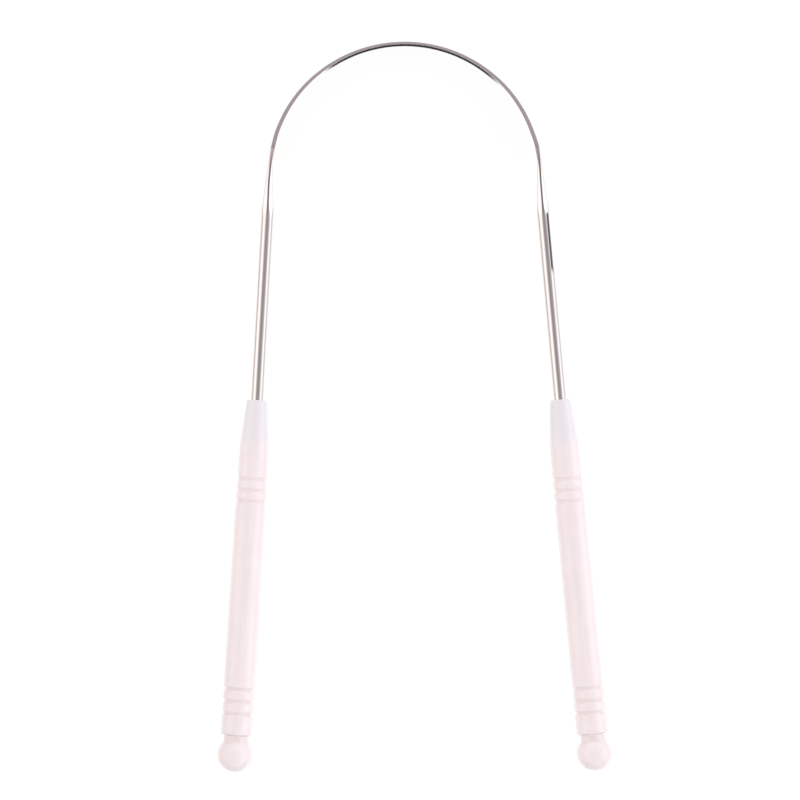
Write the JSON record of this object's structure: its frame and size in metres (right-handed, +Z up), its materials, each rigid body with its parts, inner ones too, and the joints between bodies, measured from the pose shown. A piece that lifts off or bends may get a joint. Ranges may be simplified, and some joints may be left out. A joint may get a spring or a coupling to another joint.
{
  "type": "tongue scraper",
  "caption": "U-shaped tongue scraper: springy steel wire pressed flat over its arch, with slim ringed plastic handles that squeeze together and end in small balls.",
  "frame": {"origin": "middle of the base it rests on when it lies flat: centre of the bounding box in X and Y, at the level of the lower scraping edge and of the end balls' lowest points", "axes": "+Y from the end balls towards the arch's crown, +X across the arms towards the one with the press mark, +Z up, square to the plane of the bow"},
  "size_m": [0.0788, 0.146, 0.007],
  "materials": {
    "steel": "mirror-polished stainless steel",
    "handle_plastic": "glossy, slightly translucent pale pink"
  },
  "bodies": {
    "crown": {"bow_crown": "steel"},
    "left_side": {"bow_left_leg": "steel", "left_handle": "handle_plastic"},
    "right_side": {"bow_right_leg": "steel", "right_handle": "handle_plastic"}
  },
  "joints": [
    {"name": "left_flex", "type": "hinge", "parent": "crown", "child": "left_side", "pos_m": [-0.01887, 0.06689, 0.0035], "axis": [0, 0, 1], "range_deg": [-8, 13.4], "stiffness_Nm_per_rad": 0.67, "deforming": ["bow_crown", "bow_left_leg"]},
    {"name": "right_flex", "type": "hinge", "parent": "crown", "child": "right_side", "pos_m": [0.0148, 0.06689, 0.0035], "axis": [0, 0, -1], "range_deg": [-8, 13.4], "stiffness_Nm_per_rad": 0.67, "deforming": ["bow_crown", "bow_right_leg"]}
  ]
}
